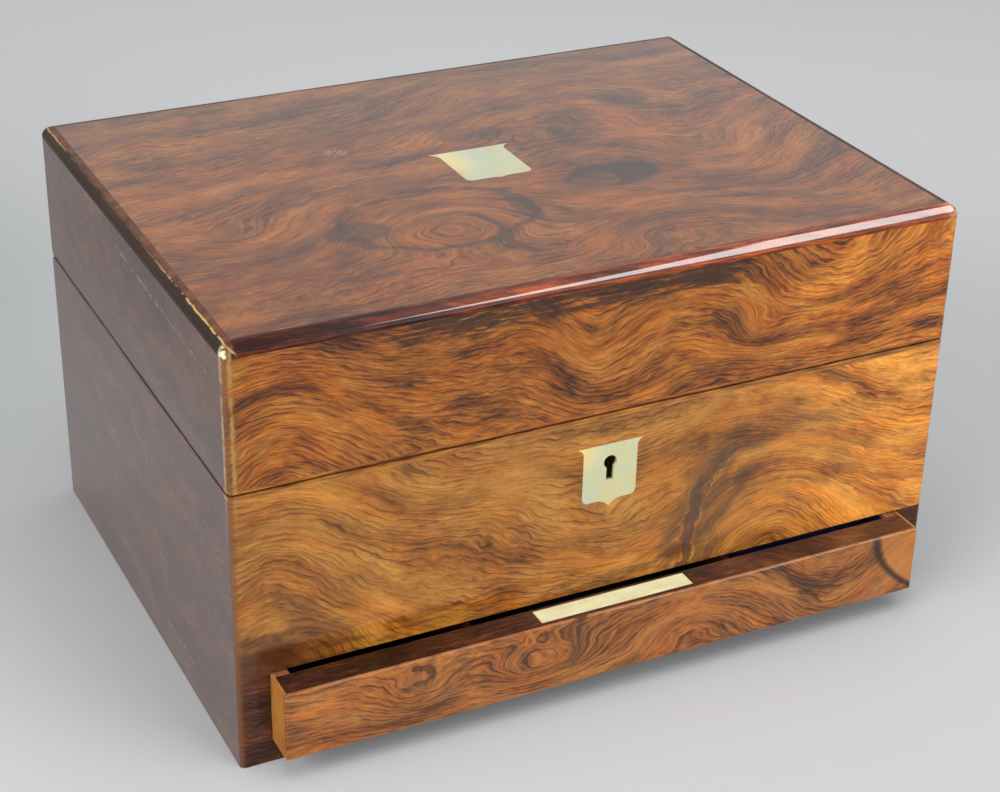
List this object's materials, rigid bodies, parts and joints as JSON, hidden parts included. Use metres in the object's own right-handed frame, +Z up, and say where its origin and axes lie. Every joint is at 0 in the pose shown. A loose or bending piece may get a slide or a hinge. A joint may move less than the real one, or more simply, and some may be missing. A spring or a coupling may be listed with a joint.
{
  "type": "antique fitted dressing box",
  "caption": "Rectangular hinged box with a sprung base drawer, fitted cells with jars, a lift-out tool tray and a framed mirror in the lid.",
  "frame": {"origin": "middle of the flat underside on which the box rests", "axes": "+X to the box's right as seen from the front, +Y to the back where the hinges are, +Z up"},
  "size_m": [0.305, 0.24, 0.177],
  "materials": {
    "rosewood": "french polished",
    "rosewood_front": "french polished",
    "mahogany": "oiled",
    "velvet": "velvet",
    "pearl": "polished shell",
    "ivory": "polished bone",
    "brass": "aged",
    "steel": "bright",
    "silver_plate": "silver plated",
    "cut_glass": "clear",
    "mirror": "silvered",
    "cloth": "baize"
  },
  "bodies": {
    "base": {"bottom_board": "mahogany", "base_side_walls": "mahogany", "base_back_wall": "mahogany", "base_front_wall": "mahogany", "drawer_divider": "mahogany", "front_veneer": "rosewood_front", "drawer_surround_veneer": "rosewood_front", "base_outer_veneers": "rosewood", "base_rim_facing": "rosewood", "base_cloth": "cloth", "keyhole_plate": "pearl", "lock_case": "brass", "lock_cap_plate": "brass", "hinge_base_leaves": "brass", "hinge_pins": "brass", "drawer_spring": "steel", "fitted_frame": "rosewood", "tray_ledges": "rosewood", "cell_velvet": "velvet", "scent_bottles": "cut_glass", "scent_caps": "silver_plate", "powder_jars": "cut_glass", "powder_jar_tops": "silver_plate", "long_jar": "cut_glass", "long_jar_top": "silver_plate", "tray_frame": "rosewood", "tray_velvet": "velvet", "tool_handles": "pearl", "tool_blades": "steel", "base_screws": "brass"},
    "lid": {"link_plate": "brass", "hinge_lid_leaves": "brass", "lid_walls": "mahogany", "lid_board": "mahogany", "lid_top_veneer": "rosewood", "lid_front_veneer": "rosewood_front", "lid_outer_veneers": "rosewood", "lid_edge_strips": "rosewood", "lid_rim_facing": "rosewood", "lid_shield": "pearl", "mirror_frame": "rosewood", "mirror_glass": "mirror", "mirror_backing": "mahogany", "mirror_rails": "mahogany", "lid_lining": "velvet", "lid_screws": "brass"},
    "drawer": {"drawer_front": "rosewood", "drawer_front_veneer": "rosewood_front", "drawer_end_veneers": "rosewood_front", "drawer_sides": "mahogany", "drawer_back": "mahogany", "drawer_floor": "mahogany", "drawer_lining": "velvet", "drawer_partitions": "rosewood", "drawer_label": "ivory", "drawer_catch": "brass", "ring_cushion": "velvet"},
    "release_pin": {"release_pin": "brass"},
    "lock_bolt": {"lock_bolt": "brass"},
    "mirror_button": {"mirror_button": "brass"}
  },
  "joints": [
    {"name": "lid_hinge", "type": "hinge", "parent": "base", "child": "lid", "pos_m": [0, 0.1085, 0.1185], "axis": [-1, 0, 0], "range_deg": [0, 95]},
    {"name": "drawer_slide", "type": "slide", "parent": "base", "child": "drawer", "axis": [0, -1, 0], "range_m": [-0.015, 0.135], "deforming": ["drawer_spring"]},
    {"name": "release_pin_slide", "type": "slide", "parent": "base", "child": "release_pin", "axis": [0, 0, 1], "range_m": [-0.007, 0]},
    {"name": "lock_bolt_slide", "type": "slide", "parent": "base", "child": "lock_bolt", "axis": [1, 0, 0], "range_m": [0, 0.004]},
    {"name": "mirror_button_turn", "type": "hinge", "parent": "lid", "child": "mirror_button", "pos_m": [0, -0.0954, 0.148], "axis": [0, 0, 1], "range_deg": [-90, 90]}
  ]
}
